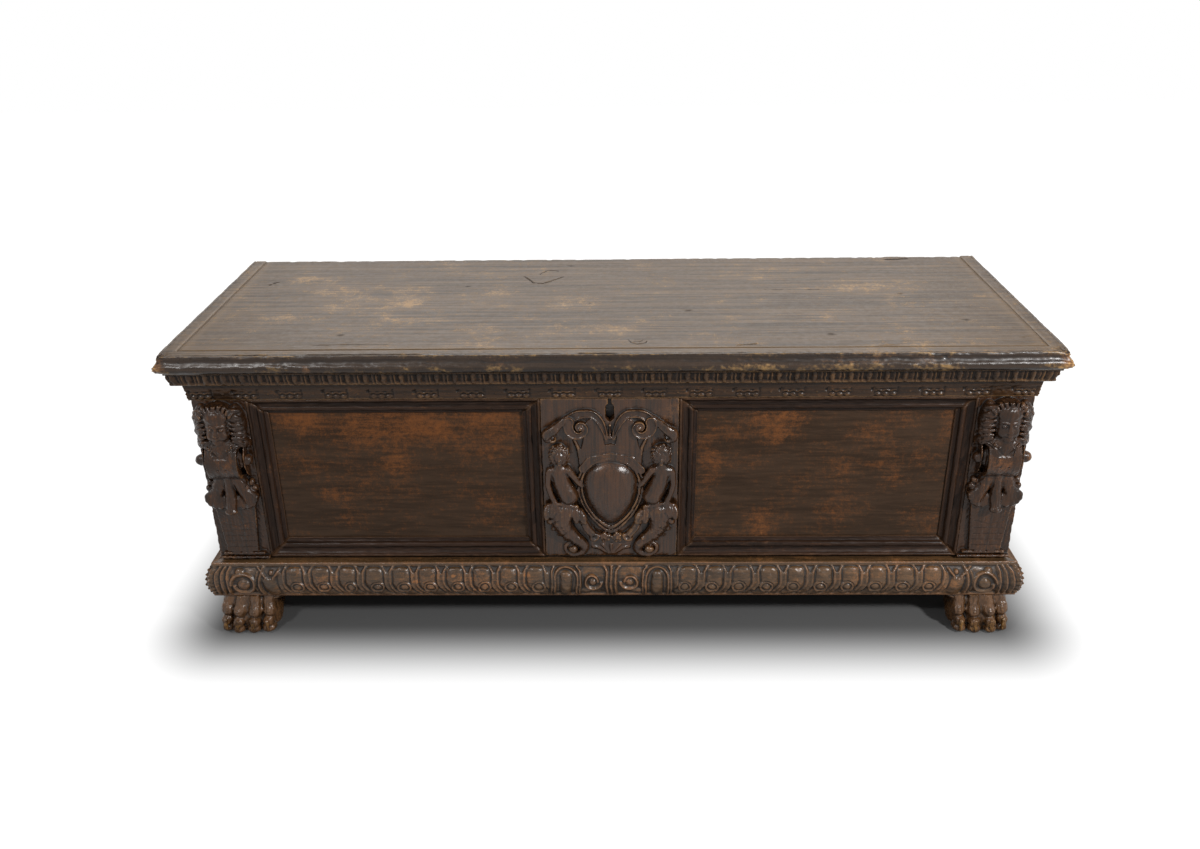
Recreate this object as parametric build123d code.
"""Carved walnut marriage chest (cassone) with a hinged lid, an iron lock and lion-paw feet.

Millimetres, +X to the right and -Y towards the viewer in front of the chest, +Z up.
The origin is on the floor, under the middle of the chest's whole depth and width.
"""

from build123d import *
import os

# ---- Carcase ----
case_length = 1610.0
case_depth = 530.0
board = 25.0
applied = 18.0
floor_thickness = 20.0
floor_lift = 12.0
groove = 8.0
tail_pitch = 72.0
tail_flare = 4.0

# ---- Heights, from the floor up ----
foot_height = 85.0
base_height = 80.0
quirk_height = 6.0
field_height = 358.0
frieze_height = 38.0
lid_gap = 1.0
cornice_height = 31.0
lid_thickness = 36.0
rim_gap = 0.5

# ---- Lid ----
lid_overhang = 45.0
nosing_width = 40.0
nosing_step = 5.0
nosing_setback = 7.0
nosing_quirk = 3.0
cornice_gap = 1.5
cornice_width = 28.5
cornice_fillet = 5.0
cornice_foot = 19.0
cornice_lip = 1.0
cornice_belly = 2.2
batten_width = 32.0
batten_height = 24.0
batten_side_gap = 16.0
batten_end_gap = 28.0
batten_nails = 3

# ---- Mouldings on the carcase ----
frieze_lower = 3.0
frieze_upper = 8.0
torus_projection = 30.0
torus_shoulder = 16.0
torus_foot = 20.0
torus_fillet = 6.0
torus_toe = 5.0
torus_middle = 0.55
quirk_depth = 8.5
frame_width = 36.0
frame_rise = 2.0
frame_fillet = 5.0
frame_bead = 10.0
frame_cove_turn = 5.0
frame_cove_middle = 13.0
frame_cove_end = 11.0
frame_bead_turn = 6.0
frame_bead_start = 12.5
frame_bead_middle = 13.6
frame_bead_end = 9.5
frame_lip_turn = 3.0
frame_lip_start = 6.5
frame_lip_middle = 4.3
frame_lip_end = 3.6

# ---- Carved planks ----
herm_width = 105.0
cartouche_width = 268.0
carving_depth = 41.0
boss_half_width = 55.0
boss_half_height = 66.0
boss_drop = 199.0
boss_relief = 24.0
ring_width = 11.0
ring_relief = 9.0
volute_radius = 30.0
volute_spacing = 72.0
volute_drop = 66.0
volute_relief = 12.0
volute_eye_rise = 4.0
figure_spacing = 101.0
figure_head = 24.0
figure_head_drop = 124.0
figure_head_stretch = 1.2
figure_sink = 4.0
torso_half_width = 26.0
torso_half_height = 46.0
torso_drop = 196.0
torso_sink = 2.0
waist_inset = 4.0
waist_lift = 8.0
fish_tail_drop = 318.0
fish_tail_spacing = 84.0
fish_tail_radius = 19.0
swag_radius = 13.0
swag_beads = 7
swag_drop = 272.0
swag_sag = 36.0
head_half_width = 28.0
head_half_height = 44.0
head_gap = 1.0
hair_radius = 17.0
scroll_radius = 38.0
scroll_length = 64.0
scroll_drop = 125.0
hub_radius = 13.0
hub_overhang = 7.0
shaft_rise = 10.0
shaft_height = 116.0
shaft_top_width = 84.0
shaft_foot_width = 62.0
skirt_half_height = 42.0
plinth_height = 11.0
plinth_rise = 8.0

# ---- Feet ----
paw_width = 112.0
paw_depth = 116.0
paw_inset = 45.0
paw_ease = 6.0
instep_stretch = 1.25
ankle_ease = 8.0
ankle_flare = 14.0
toe_count = 4
toe_height = 36.0
toe_swell = 4.0
toe_knuckle_height = 44.0
toe_knuckle_setback = 44.0
toe_knuckle_half_depth = 32.0
toe_knuckle_half_height = 26.0
toe_gather = 0.92
dowel_radius = 6.0
dowel_reach = 38.0

# ---- Hinges ----
hinge_inset = 245.0
knuckle_radius = 6.0
hinge_gap = 0.4
hinge_width = 40.0
centre_knuckle = 15.0
knuckle_gap = 0.5
pin_radius = 3.0
pin_clearance = 0.06
pin_head_radius = 4.2
pin_head = 2.0
strap_thickness = 3.0
strap_length = 240.0
leaf_length = 130.0
notch_clearance = 1.0
hinge_nails = 3

# ---- Lock ----
keyhole_width = 15.0
keyhole_height = 37.0
keyhole_drop = 13.0
keyhole_notch = 5.0
keyhole_notch_height = 11.0
plate_width = 176.0
plate_height = 132.0
plate_thickness = 2.5
plate_lip = 10.0
lock_drop = 14.0
lock_case_depth = 27.0
lock_wall = 2.0
bolt_height = 12.0
bolt_thickness = 6.0
bolt_travel = 16.0
bolt_top_gap = 10.0
bolt_side_gap = 3.0
talon_width = 12.0
talon_length = 34.0
keeper_wall = 2.5
keeper_length = 6.0
keeper_play = 0.4
keeper_margin = 2.0
drill_radius = 2.5
drill_setback = 5.0
staple_thickness = 8.0
staple_leg = 4.0
staple_eye = 9.0
staple_bar = 4.0
staple_gap = 3.5
staple_slot = 3.0
staple_plate = 2.5
staple_plate_length = 60.0
spring_thickness = 1.0
spring_gap = 0.4

# ---- Nails ----
nail_radius = 1.6
nail_head_radius = 4.5
nail_head_height = 2.2
nail_length = 18.0

# ---- Planes and levels that follow from the sizes above ----
half = case_length / 2
hinge_spacing = half - hinge_inset
overall_depth = lid_overhang + case_depth + hinge_gap + 2 * knuckle_radius
y_face = lid_overhang - overall_depth / 2
y_back = y_face + case_depth
y_panel = y_face + applied
y_inner = y_panel + board
x_inner = half - board

z_base = foot_height
z_quirk = z_base + base_height
z_field = z_quirk + quirk_height
z_frieze = z_field + field_height
z_frieze_top = z_frieze + frieze_height
z_cornice = z_frieze_top + lid_gap
z_lid = z_cornice + cornice_height
z_top = z_lid + lid_thickness
z_rim = z_lid - rim_gap
z_floor = z_base + floor_lift
rim_height = z_rim - z_base

x_frame = half - herm_width
x_middle = cartouche_width / 2
y_hinge = y_back + hinge_gap + knuckle_radius
x_lid_board = half + lid_overhang - nosing_width
y_lid_board = y_face - lid_overhang + nosing_width

z_plate_top = z_lid - lock_drop
z_plate = z_plate_top - plate_height
y_plate = y_inner + plate_thickness
y_cover = y_plate + lock_case_depth
y_staple = y_plate + staple_gap
y_bolt = y_staple + staple_leg + (staple_eye - bolt_thickness) / 2
z_bolt_top = z_plate_top - plate_lip - bolt_top_gap
z_bolt = z_bolt_top - bolt_height
x_bolt = -(staple_thickness / 2 + bolt_side_gap)
z_keyhole_top = z_frieze - keyhole_drop
z_keyhole = z_keyhole_top - keyhole_height

parts = {}


def block(x0, x1, y0, y1, z0, z1):
    """A straight-sided piece between two corners."""
    return Pos((x0 + x1) / 2, (y0 + y1) / 2, (z0 + z1) / 2) * Box(x1 - x0, y1 - y0, z1 - z0)


def upright(points, z0, z1):
    """A plan outline raised from one height to another."""
    return Pos(0, 0, z0) * extrude(make_face(Polyline(*points, close=True)), z1 - z0)


def section(*edges):
    """A closed moulding section given as (projection, height)."""
    return Plane.XZ * make_face(list(edges))


def standing(face, y0, y1):
    """A front-view outline carried from one depth to another."""
    return Pos(0, y1, 0) * extrude(face, y1 - y0)


def front_view(points, y0, y1):
    """A straight-sided front-view outline, given as (x, z), with depth."""
    return standing(section(Polyline(*points, close=True)), y0, y1)


def rod(radius, length, place, direction):
    """A round bar from a place along a direction."""
    align = (Align.CENTER, Align.CENTER, Align.MIN)
    return Plane(origin=place, z_dir=direction) * Cylinder(radius, length, align=align)


def egg(x, y, z, half_x, half_y, half_z):
    """An ellipsoid, the rounded form of a carved boss, head or toe."""
    return Pos(x, y, z) * scale(Sphere(1), by=(half_x, half_y, half_z))


def mirrored(piece):
    """The same piece for the other end of the chest."""
    return mirror(piece, about=Plane.YZ)


def mitred_moulding(profile, x_line, y_line, backing=0.0):
    """Front, left and right lengths of a moulding that turns the front corners at 45 degrees."""
    box = profile.bounding_box()
    reach = box.max.X
    levels = (box.min.Z, box.max.Z)
    front = Pos(0, y_line, 0) * extrude(Rot(0, 0, -90) * profile, x_line + reach, both=True)
    plan = [(-x_line - reach, y_line - reach), (x_line + reach, y_line - reach), (x_line, y_line)]
    if backing:
        plan += [(x_line, y_line + backing), (-x_line, y_line + backing)]
    plan += [(-x_line, y_line)]
    front &= upright(plan, *levels)
    right = Pos(x_line, 0, 0) * extrude(profile, overall_depth, both=True)
    side_plan = [
        (x_line, y_line),
        (x_line + reach, y_line - reach),
        (x_line + reach, y_back),
        (x_line, y_back),
    ]
    right &= upright(side_plan, *levels)
    return front, mirrored(right), right


def nails(places, direction):
    """Forged nails: each has a low faceted head on the surface and a shank driven in."""
    outward = Vector(*direction) * -1
    align = (Align.CENTER, Align.CENTER, Align.MIN)
    head = Cone(nail_head_radius, nail_head_radius / 2, nail_head_height, align=align)
    return [
        rod(nail_radius, nail_length, place, direction)
        + Plane(origin=place, z_dir=tuple(outward)) * head
        for place in places
    ]


def drilled(piece, places, direction):
    """A piece with a hole for each nail shank that reaches it."""
    for place in places:
        piece -= rod(nail_radius, nail_length, place, direction)
    return piece


# ---- Carcase boards, with through dovetails at the four corners ----
def tails(y0, y1):
    """The dovetails that a front or back board sends through the right side board."""
    count = max(3, round(rim_height / tail_pitch))
    step = rim_height / count
    made = []
    for index in range(count):
        low = z_base + index * step + step / 4
        high = low + step / 2
        flared = [(x_inner, low), (half, low - tail_flare), (half, high + tail_flare), (x_inner, high)]
        made.append(front_view(flared, y0, y1))
    return made


def long_board(y0, y1):
    """A front or back board, from end to end of the chest."""
    body = block(-x_inner, x_inner, y0, y1, z_base, z_rim)
    for tail in tails(y0, y1):
        body += tail
        body += mirrored(tail)
    return body


def keyhole(y0, y1):
    """A round-topped key opening that narrows below, with a thin notch above it."""
    radius = keyhole_width / 2
    z_round = z_keyhole_top - radius
    outline = section(
        Polyline((-radius, z_round), (-radius, z_keyhole + radius), (0, z_keyhole)),
        Polyline((0, z_keyhole), (radius, z_keyhole + radius), (radius, z_round)),
        ThreePointArc((radius, z_round), (0, z_keyhole_top), (-radius, z_round)),
    )
    notch = block(
        -keyhole_notch / 2, keyhole_notch / 2, y0, y1, z_round, z_keyhole_top + keyhole_notch_height
    )
    return standing(outline, y0, y1) + notch


front_board = long_board(y_panel, y_inner)
back_board = long_board(y_back - board, y_back)
side_board = block(x_inner, half, y_panel, y_back, z_base, z_rim)
for tail in tails(y_panel, y_inner) + tails(y_back - board, y_back):
    side_board -= tail

floor_board = block(
    -x_inner - groove,
    x_inner + groove,
    y_inner - groove,
    y_back - board + groove,
    z_floor,
    z_floor + floor_thickness,
)
front_board -= floor_board
front_board -= keyhole(y_panel, y_inner)
back_board -= floor_board
side_board -= floor_board

# ---- Panel frames: four mitred lengths around each sunk field ----
cove_end = frame_width / 2
bead_end = cove_end + frame_bead
frame_face = section(
    Polyline(
        (frame_width, 0),
        (0, 0),
        (0, applied + frame_rise),
        (frame_fillet, applied + frame_rise),
        (frame_fillet, applied),
    ),
    ThreePointArc(
        (frame_fillet, applied),
        (frame_fillet + frame_cove_turn, frame_cove_middle),
        (cove_end, frame_cove_end),
    ),
    Line((cove_end, frame_cove_end), (cove_end, frame_bead_start)),
    ThreePointArc(
        (cove_end, frame_bead_start),
        (cove_end + frame_bead_turn, frame_bead_middle),
        (bead_end, frame_bead_end),
    ),
    Line((bead_end, frame_bead_end), (bead_end, frame_lip_start)),
    ThreePointArc(
        (bead_end, frame_lip_start),
        (bead_end + frame_lip_turn, frame_lip_middle),
        (frame_width, frame_lip_end),
    ),
    Line((frame_width, frame_lip_end), (frame_width, 0)),
)


def frame_bar(length):
    """A frame length on the X axis, its section rising from there, ends cut at 45 degrees."""
    edge_on = Rot(0, 0, 90) * (Rot(0, -90, 0) * frame_face)
    bar = extrude(edge_on, length / 2, both=True)
    ends = [
        (-length / 2, 0),
        (length / 2, 0),
        (length / 2 - frame_width, frame_width),
        (frame_width - length / 2, frame_width),
    ]
    return bar & front_view(ends, -applied - frame_rise, 0)


panel_length = x_frame - x_middle
panel_centre = (x_frame + x_middle) / 2
field_centre = (z_field + z_frieze) / 2
lying_bar = frame_bar(panel_length)
upright_bar = frame_bar(field_height)
right_frame = {
    "bottom": Pos(panel_centre, y_panel, z_field) * lying_bar,
    "top": Pos(panel_centre, y_panel, z_frieze) * Rot(0, 180, 0) * lying_bar,
    "inner": Pos(x_middle, y_panel, field_centre) * Rot(0, 90, 0) * upright_bar,
    "outer": Pos(x_frame, y_panel, field_centre) * Rot(0, -90, 0) * upright_bar,
}
for edge, bar in right_frame.items():
    parts["right_frame_" + edge] = bar
    parts["left_frame_" + edge] = mirrored(bar)

# ---- Frieze, a canted band that also lines the rim behind the cornice ----
frieze_section = section(
    Polyline(
        (-applied, z_frieze),
        (frieze_lower, z_frieze),
        (frieze_upper, z_frieze_top),
        (0, z_frieze_top),
        (0, z_rim),
        (-applied, z_rim),
        close=True,
    )
)
frieze_front, frieze_left, frieze_right = mitred_moulding(frieze_section, half, y_face, applied)
parts["frieze_front"] = frieze_front
parts["frieze_left"] = frieze_left
parts["frieze_right"] = frieze_right

# ---- Base: a large torus under a fillet, with a dark quirk above it ----
base_section = section(
    Polyline(
        (torus_foot, z_base + torus_toe),
        (torus_foot, z_base),
        (-applied, z_base),
        (-applied, z_field),
        (-quirk_depth, z_field),
        (-quirk_depth, z_quirk),
        (torus_shoulder, z_quirk),
        (torus_shoulder, z_quirk - torus_fillet),
    ),
    ThreePointArc(
        (torus_shoulder, z_quirk - torus_fillet),
        (torus_projection, z_base + torus_middle * base_height),
        (torus_foot, z_base + torus_toe),
    ),
)
base_front, base_left, base_right = mitred_moulding(base_section, half, y_face, applied)
parts["base_front"] = base_front
parts["base_left"] = base_left
parts["base_right"] = base_right

# ---- Lid: board, moulded nosing and the cornice strip under it ----
nose = nosing_width
nose_low = z_lid + nosing_step
nose_high = z_top - nosing_step
nosing_section = section(
    Polyline(
        (nose - nosing_setback, nose_low),
        (nose - nosing_setback - nosing_quirk, nose_low),
        (nose - nosing_setback - nosing_quirk, z_lid),
        (0, z_lid),
        (0, z_top),
        (nose - nosing_setback, z_top),
        (nose - nosing_setback, nose_high),
    ),
    ThreePointArc(
        (nose - nosing_setback, nose_high),
        (nose, (nose_low + nose_high) / 2),
        (nose - nosing_setback, nose_low),
    ),
)
nosing_front, nosing_left, nosing_right = mitred_moulding(nosing_section, x_lid_board, y_lid_board)
lid_board = block(-x_lid_board, x_lid_board, y_lid_board, y_back, z_lid, z_top)

cornice_edge = z_lid - cornice_fillet
cornice_section = section(
    Polyline(
        (cornice_foot, z_cornice),
        (0, z_cornice),
        (0, z_lid),
        (cornice_width, z_lid),
        (cornice_width, cornice_edge),
        (cornice_width - cornice_lip, cornice_edge),
    ),
    ThreePointArc(
        (cornice_width - cornice_lip, cornice_edge),
        (cornice_width - cornice_belly, z_cornice + cornice_height / 2),
        (cornice_foot, z_cornice),
    ),
)
cornice = mitred_moulding(cornice_section, half + cornice_gap, y_face - cornice_gap)
parts["cornice_front"], parts["cornice_left"], parts["cornice_right"] = cornice
parts["nosing_front"] = nosing_front
parts["nosing_left"] = nosing_left
parts["nosing_right"] = nosing_right

# ---- Battens under the lid, just inside the side boards ----
batten_outer = x_inner - batten_side_gap
batten_centre = batten_outer - batten_width / 2
batten_front = y_inner + batten_end_gap
batten_back = y_back - board - batten_end_gap
batten = block(
    batten_outer - batten_width, batten_outer, batten_front, batten_back, z_lid - batten_height, z_lid
)
batten_step = (batten_back - batten_front) / batten_nails
batten_places = [
    (side * batten_centre, batten_front + (index + 0.5) * batten_step, z_lid - batten_height)
    for side in (-1, 1)
    for index in range(batten_nails)
]
batten_shanks = [
    rod(nail_radius, batten_height + nail_length, place, (0, 0, 1)) for place in batten_places
]
batten_heads = nails(batten_places, (0, 0, 1))
parts["batten_nails"] = Compound(
    children=[head + shank for head, shank in zip(batten_heads, batten_shanks)]
)
for shank in batten_shanks:
    batten -= shank
    lid_board -= shank
parts["batten_right"] = batten
parts["batten_left"] = mirrored(batten)


# ---- Hinges: strap under the lid, leaf on the back, three-knuckle barrel behind ----
def knuckle(x0, x1):
    """One barrel of the hinge, bored for the pin."""
    place = (x0, y_hinge, z_lid)
    barrel = rod(knuckle_radius, x1 - x0, place, (1, 0, 0))
    return barrel - rod(pin_radius + pin_clearance, x1 - x0, place, (1, 0, 0))


hinge_edge = hinge_spacing + hinge_width / 2
middle_edge = hinge_spacing + centre_knuckle / 2
middle_start = hinge_spacing - centre_knuckle / 2
hinge_start = hinge_spacing - hinge_width / 2
pin_bore = rod(pin_radius + pin_clearance, hinge_width, (hinge_start, y_hinge, z_lid), (1, 0, 0))

strap = block(hinge_start, hinge_edge, y_back - strap_length, y_back, z_lid - strap_thickness, z_lid)
strap += block(middle_start, middle_edge, y_back, y_hinge, z_lid - strap_thickness, z_lid)
strap += rod(knuckle_radius, centre_knuckle, (middle_start, y_hinge, z_lid), (1, 0, 0))
strap -= pin_bore

leaf_top = z_lid - knuckle_radius - notch_clearance
leaf = block(hinge_start, hinge_edge, y_back, y_back + strap_thickness, z_lid - leaf_length, leaf_top)
for x0, x1 in (
    (hinge_start, middle_start - knuckle_gap),
    (middle_edge + knuckle_gap, hinge_edge),
):
    leaf += block(x0, x1, y_back, y_back + strap_thickness, leaf_top, z_lid)
    leaf += rod(knuckle_radius, x1 - x0, (x0, y_hinge, z_lid), (1, 0, 0))
leaf -= pin_bore

pin = rod(pin_radius, hinge_width, (hinge_start, y_hinge, z_lid), (1, 0, 0))
pin += rod(pin_head_radius, pin_head, (hinge_edge, y_hinge, z_lid), (1, 0, 0))
pin += rod(pin_head_radius, pin_head, (hinge_start, y_hinge, z_lid), (-1, 0, 0))

strap_step = (strap_length - board) / hinge_nails
strap_places = [
    (side * hinge_spacing, y_back - board - (index + 0.5) * strap_step, z_lid - strap_thickness)
    for side in (-1, 1)
    for index in range(hinge_nails)
]
leaf_step = (leaf_length - knuckle_radius - notch_clearance) / hinge_nails
leaf_places = [
    (side * hinge_spacing, y_back + strap_thickness, leaf_top - (index + 0.5) * leaf_step)
    for side in (-1, 1)
    for index in range(hinge_nails)
]
strap = drilled(strap, strap_places, (0, 0, 1))
lid_board = drilled(lid_board, strap_places, (0, 0, 1))
leaf = drilled(leaf, leaf_places, (0, -1, 0))
back_board = drilled(back_board, leaf_places, (0, -1, 0))
for side in (-1, 1):
    back_board -= block(
        side * hinge_spacing - hinge_width / 2 - notch_clearance,
        side * hinge_spacing + hinge_width / 2 + notch_clearance,
        y_back - board,
        y_back,
        z_lid - strap_thickness - notch_clearance,
        z_lid,
    )
parts["hinge_strap_right"] = strap
parts["hinge_strap_left"] = mirrored(strap)
parts["hinge_leaf_right"] = leaf
parts["hinge_leaf_left"] = mirrored(leaf)
parts["hinge_pin_right"] = pin
parts["hinge_pin_left"] = mirrored(pin)
parts["strap_nails"] = Compound(children=nails(strap_places, (0, 0, 1)))
parts["leaf_nails"] = Compound(children=nails(leaf_places, (0, -1, 0)))

# ---- Lock on the inside of the front board ----
plate_half = plate_width / 2
plate = block(-plate_half, plate_half, y_inner, y_plate, z_plate, z_plate_top)
plate -= keyhole(y_inner, y_plate)
plate_places = [
    (side * (plate_half - plate_lip / 2), y_plate, height)
    for side in (-1, 1)
    for height in (z_plate + plate_lip / 2, z_plate_top - plate_lip / 2)
]
plate = drilled(plate, plate_places, (0, -1, 0))
front_board = drilled(front_board, plate_places, (0, -1, 0))
parts["lock_plate"] = plate
parts["lock_nails"] = Compound(children=nails(plate_places, (0, -1, 0)))

case_half = plate_half - plate_lip
z_case = z_plate + plate_lip
z_case_top = z_plate_top - plate_lip
lock_case = block(-case_half, case_half, y_plate, y_cover, z_case, z_case_top)
lock_case -= block(
    lock_wall - case_half,
    case_half - lock_wall,
    y_plate,
    y_cover - lock_wall,
    z_case + lock_wall,
    z_case_top - lock_wall,
)
slot_half = staple_thickness / 2 + staple_slot
y_slot = y_staple + 2 * staple_leg + staple_eye + staple_slot
lock_case -= block(-slot_half, slot_half, y_plate, y_slot, z_case_top - lock_wall, z_case_top)
parts["lock_case"] = lock_case

# ---- Bolt, its keepers, spring and the pin that guides the key ----
talon_start = x_bolt - keeper_length - bolt_travel - keeper_margin - talon_width
keeper_start = talon_start - keeper_margin - keeper_length
spring_tip = keeper_start - keeper_margin
bolt = block(
    spring_tip - bolt_travel, x_bolt, y_bolt, y_bolt + bolt_thickness, z_bolt, z_bolt_top
)
bolt += block(
    talon_start,
    talon_start + talon_width,
    y_bolt,
    y_bolt + bolt_thickness,
    z_bolt - talon_length,
    z_bolt,
)
parts["lock_bolt"] = bolt

keepers = []
for x0 in (keeper_start, x_bolt - keeper_length):
    x1 = x0 + keeper_length
    outer = block(
        x0,
        x1,
        y_plate,
        y_bolt + bolt_thickness + keeper_play + keeper_wall,
        z_bolt - keeper_play - keeper_wall,
        z_bolt_top + keeper_play + keeper_wall,
    )
    outer -= block(
        x0,
        x1,
        y_bolt - keeper_play,
        y_bolt + bolt_thickness + keeper_play,
        z_bolt - keeper_play,
        z_bolt_top + keeper_play,
    )
    keepers.append(outer)
parts["bolt_keepers"] = Compound(children=keepers)

spring_end = lock_wall - case_half
spring_low = z_bolt_top + spring_gap
spring_rise = keeper_wall
spring_line = section(
    ThreePointArc(
        (spring_end, spring_low + spring_rise),
        ((spring_end + spring_tip) / 2, spring_low + spring_rise / 4),
        (spring_tip, spring_low),
    ),
    Line((spring_tip, spring_low), (spring_tip, spring_low + spring_thickness)),
    ThreePointArc(
        (spring_tip, spring_low + spring_thickness),
        ((spring_end + spring_tip) / 2, spring_low + spring_rise / 4 + spring_thickness),
        (spring_end, spring_low + spring_rise + spring_thickness),
    ),
    Line(
        (spring_end, spring_low + spring_rise + spring_thickness),
        (spring_end, spring_low + spring_rise),
    ),
)
parts["lock_spring"] = standing(spring_line, y_bolt, y_bolt + bolt_thickness)

z_drill = z_keyhole_top - keyhole_width / 2
drill_length = y_cover - lock_wall - y_plate - drill_setback
parts["drill_pin"] = rod(drill_radius, drill_length, (0, y_cover - lock_wall, z_drill), (0, -1, 0))

# ---- Staple under the lid, a square loop that the bolt shoots through ----
staple_half = staple_thickness / 2
y_staple_back = y_staple + 2 * staple_leg + staple_eye
z_eye = z_bolt - bolt_side_gap
staple = block(-staple_half, staple_half, y_staple, y_staple_back, z_eye - staple_bar, z_lid)
staple -= block(
    -staple_half,
    staple_half,
    y_staple + staple_leg,
    y_staple_back - staple_leg,
    z_eye,
    z_lid - staple_plate,
)
y_staple_middle = (y_staple + y_staple_back) / 2
staple += block(
    -staple_plate_length / 2,
    staple_plate_length / 2,
    y_staple,
    y_staple_back,
    z_lid - staple_plate,
    z_lid,
)
staple_places = [
    (side * staple_plate_length / 3, y_staple_middle, z_lid - staple_plate) for side in (-1, 1)
]
parts["lid_staple"] = drilled(staple, staple_places, (0, 0, 1))
parts["staple_nails"] = Compound(children=nails(staple_places, (0, 0, 1)))
parts["lid_board"] = drilled(lid_board, staple_places, (0, 0, 1))

# ---- Cartouche: boss in a ring, two volutes, two figures ending in scrolls, a swag ----
y_block = y_face
carved = block(-x_middle, x_middle, y_block, y_panel, z_field, z_frieze)
z_boss = z_frieze - boss_drop
ring = egg(0, y_block, z_boss, boss_half_width + ring_width, ring_relief, boss_half_height + ring_width)
carved += ring
carved += egg(0, y_block, z_boss, boss_half_width, boss_relief, boss_half_height)
for side in (-1, 1):
    volute = (side * volute_spacing, y_block, z_frieze - volute_drop)
    carved += rod(volute_radius, volute_relief, volute, (0, -1, 0))
    carved += egg(*volute, volute_radius / 2, volute_relief + volute_eye_rise, volute_radius / 2)
    z_head = z_frieze - figure_head_drop
    carved += egg(
        side * figure_spacing,
        y_block - figure_sink,
        z_head,
        figure_head,
        figure_head,
        figure_head * figure_head_stretch,
    )
    z_torso = z_frieze - torso_drop
    carved += egg(
        side * figure_spacing,
        y_block - torso_sink,
        z_torso,
        torso_half_width,
        torso_half_width,
        torso_half_height,
    )
    tail_end = (side * fish_tail_spacing, y_block, z_frieze - fish_tail_drop)
    carved += rod(fish_tail_radius, volute_relief, tail_end, (0, -1, 0))
    carved += egg(
        side * (figure_spacing - waist_inset),
        y_block,
        (z_torso - torso_half_height + tail_end[2]) / 2 + waist_lift,
        torso_half_width,
        volute_relief,
        torso_half_height,
    )
for index in range(swag_beads):
    across = 2 * index / (swag_beads - 1) - 1
    carved += egg(
        across * boss_half_width,
        y_block,
        z_frieze - swag_drop - swag_sag * (1 - across**2),
        swag_radius,
        swag_radius,
        swag_radius,
    )
carved &= block(-x_middle, x_middle, y_face - carving_depth, y_panel, z_field, z_frieze)
parts["cartouche_block"] = carved - keyhole(y_face - carving_depth, y_panel)

# ---- Herms: a bust on a scroll, a leafy skirt and a tapering shaft, on one plank ----
x_herm = half - herm_width / 2
z_head = z_frieze - head_half_height - head_gap
z_scroll = z_frieze - scroll_drop
y_front = y_face - carving_depth
herm = block(x_frame, half, y_face, y_panel, z_field, z_frieze)
herm += block(x_frame, half, y_face - plinth_rise, y_face, z_field, z_field + plinth_height)
shaft_foot = z_field + plinth_height
shaft_top = shaft_foot + shaft_height
herm += front_view(
    [
        (x_herm - shaft_foot_width / 2, shaft_foot),
        (x_herm + shaft_foot_width / 2, shaft_foot),
        (x_herm + shaft_top_width / 2, shaft_top),
        (x_herm - shaft_top_width / 2, shaft_top),
    ],
    y_face - shaft_rise,
    y_face,
)
z_skirt = shaft_top + skirt_half_height / 3
for offset in (-1, 0, 1):
    herm += egg(
        x_herm + offset * herm_width / 3,
        y_face,
        z_skirt - (offset == 0) * skirt_half_height / 6,
        herm_width / 6,
        carving_depth / 2,
        skirt_half_height,
    )
y_scroll = y_front + scroll_radius
herm += rod(scroll_radius, scroll_length, (x_herm - scroll_length / 2, y_scroll, z_scroll), (1, 0, 0))
herm += rod(
    hub_radius,
    herm_width + hub_overhang,
    (x_frame, y_scroll, z_scroll),
    (1, 0, 0),
)
herm += block(
    x_herm - scroll_length / 2,
    x_herm + scroll_length / 2,
    y_face - carving_depth / 2,
    y_face,
    z_scroll,
    z_head,
)
herm += egg(
    x_herm, y_front + head_half_width, z_head, head_half_width, head_half_width, head_half_height
)
for side in (-1, 1):
    herm += egg(
        x_herm + side * (herm_width / 2 - hair_radius),
        y_face,
        z_head - hair_radius / 2,
        hair_radius,
        hair_radius,
        2 * hair_radius,
    )
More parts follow.
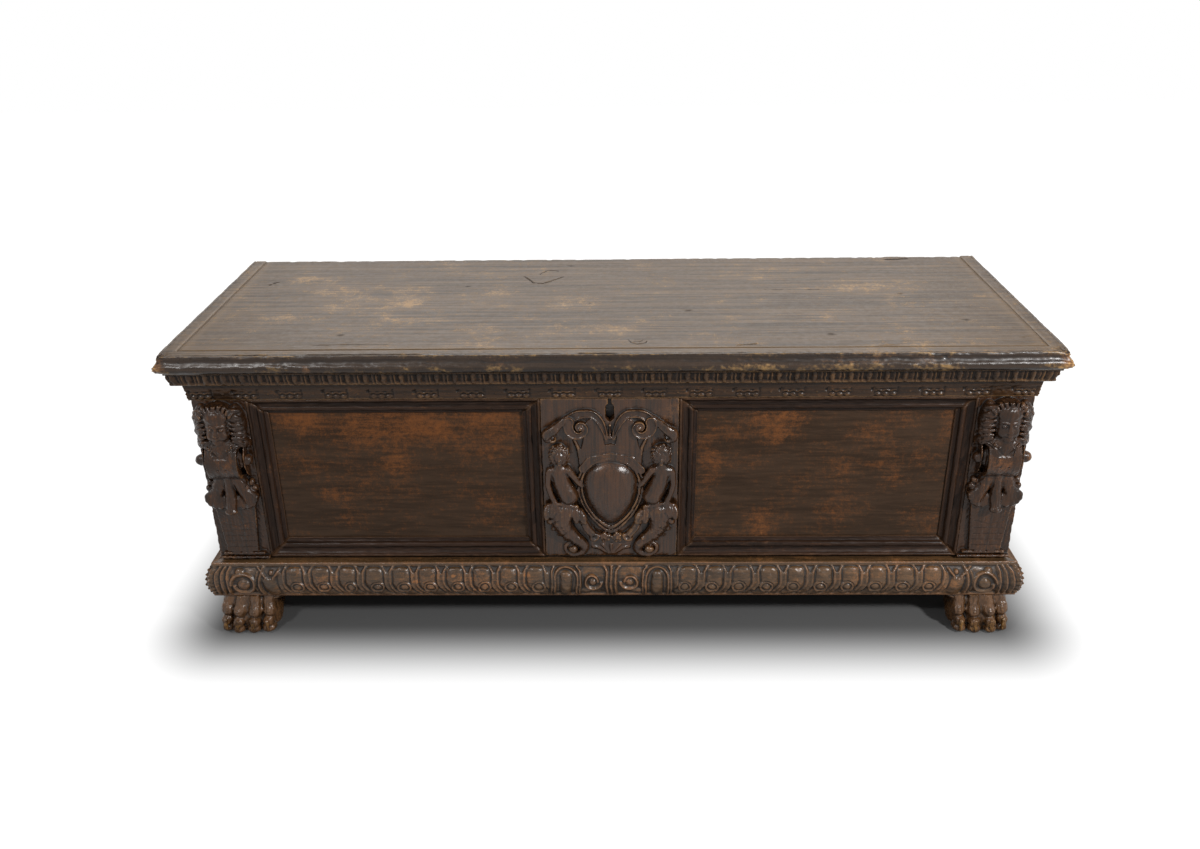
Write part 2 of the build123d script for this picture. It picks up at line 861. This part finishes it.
herm &= block(x_frame, half + hub_overhang, y_front, y_panel, z_field, z_frieze)
parts["herm_right"] = herm
parts["herm_left"] = mirrored(herm)

# ---- Paw feet: four toes under a rounded ankle, each held by a dowel ----
toe_pitch = paw_width / toe_count
paw_half = paw_width / 2
paw = egg(
    0,
    paw_depth / 2 + paw_ease,
    0,
    paw_half - toe_swell,
    paw_depth / 2 - paw_ease,
    foot_height * instep_stretch,
)
ankle = [
    (-paw_half + ankle_ease, foot_height / 2),
    (paw_half - ankle_ease, foot_height / 2),
    (paw_half, foot_height),
    (-paw_half - ankle_flare, foot_height),
]
paw += front_view(ankle, toe_knuckle_setback, paw_depth)
for index in range(toe_count):
    offset = (index + 0.5) * toe_pitch - paw_half
    paw += egg(
        offset, toe_height, toe_height / 2, toe_pitch / 2, toe_height, toe_height / 2 + toe_swell
    )
    paw += egg(
        offset * toe_gather,
        toe_knuckle_setback,
        toe_knuckle_height,
        toe_pitch / 2,
        toe_knuckle_half_depth,
        toe_knuckle_half_height,
    )
paw &= block(-paw_width, paw_width, 0, paw_depth, 0, foot_height)
x_paw = half - paw_inset
dowel_depth = (board - groove) / 2
y_dowels = {"front": y_panel + dowel_depth, "back": y_back - dowel_depth}
y_toes = {"front": y_front, "back": y_back - paw_depth}
dowels = []
for end in ("front", "back"):
    dowel = rod(
        dowel_radius, 2 * dowel_reach, (x_paw, y_dowels[end], z_base - dowel_reach), (0, 0, 1)
    )
    foot = Pos(x_paw, y_toes[end], 0) * paw - dowel
    dowels += [dowel, mirrored(dowel)]
    parts["paw_" + end + "_right"] = foot
    parts["paw_" + end + "_left"] = mirrored(foot)
for dowel in dowels:
    front_board -= dowel
    back_board -= dowel
parts["foot_dowels"] = Compound(children=dowels)

parts["front_board"] = front_board
parts["back_board"] = back_board
parts["side_board_right"] = side_board
parts["side_board_left"] = mirrored(side_board)
parts["floor_board"] = floor_board

os.makedirs("parts", exist_ok=True)
for name, piece in parts.items():
    export_step(piece, "parts/" + name + ".step")
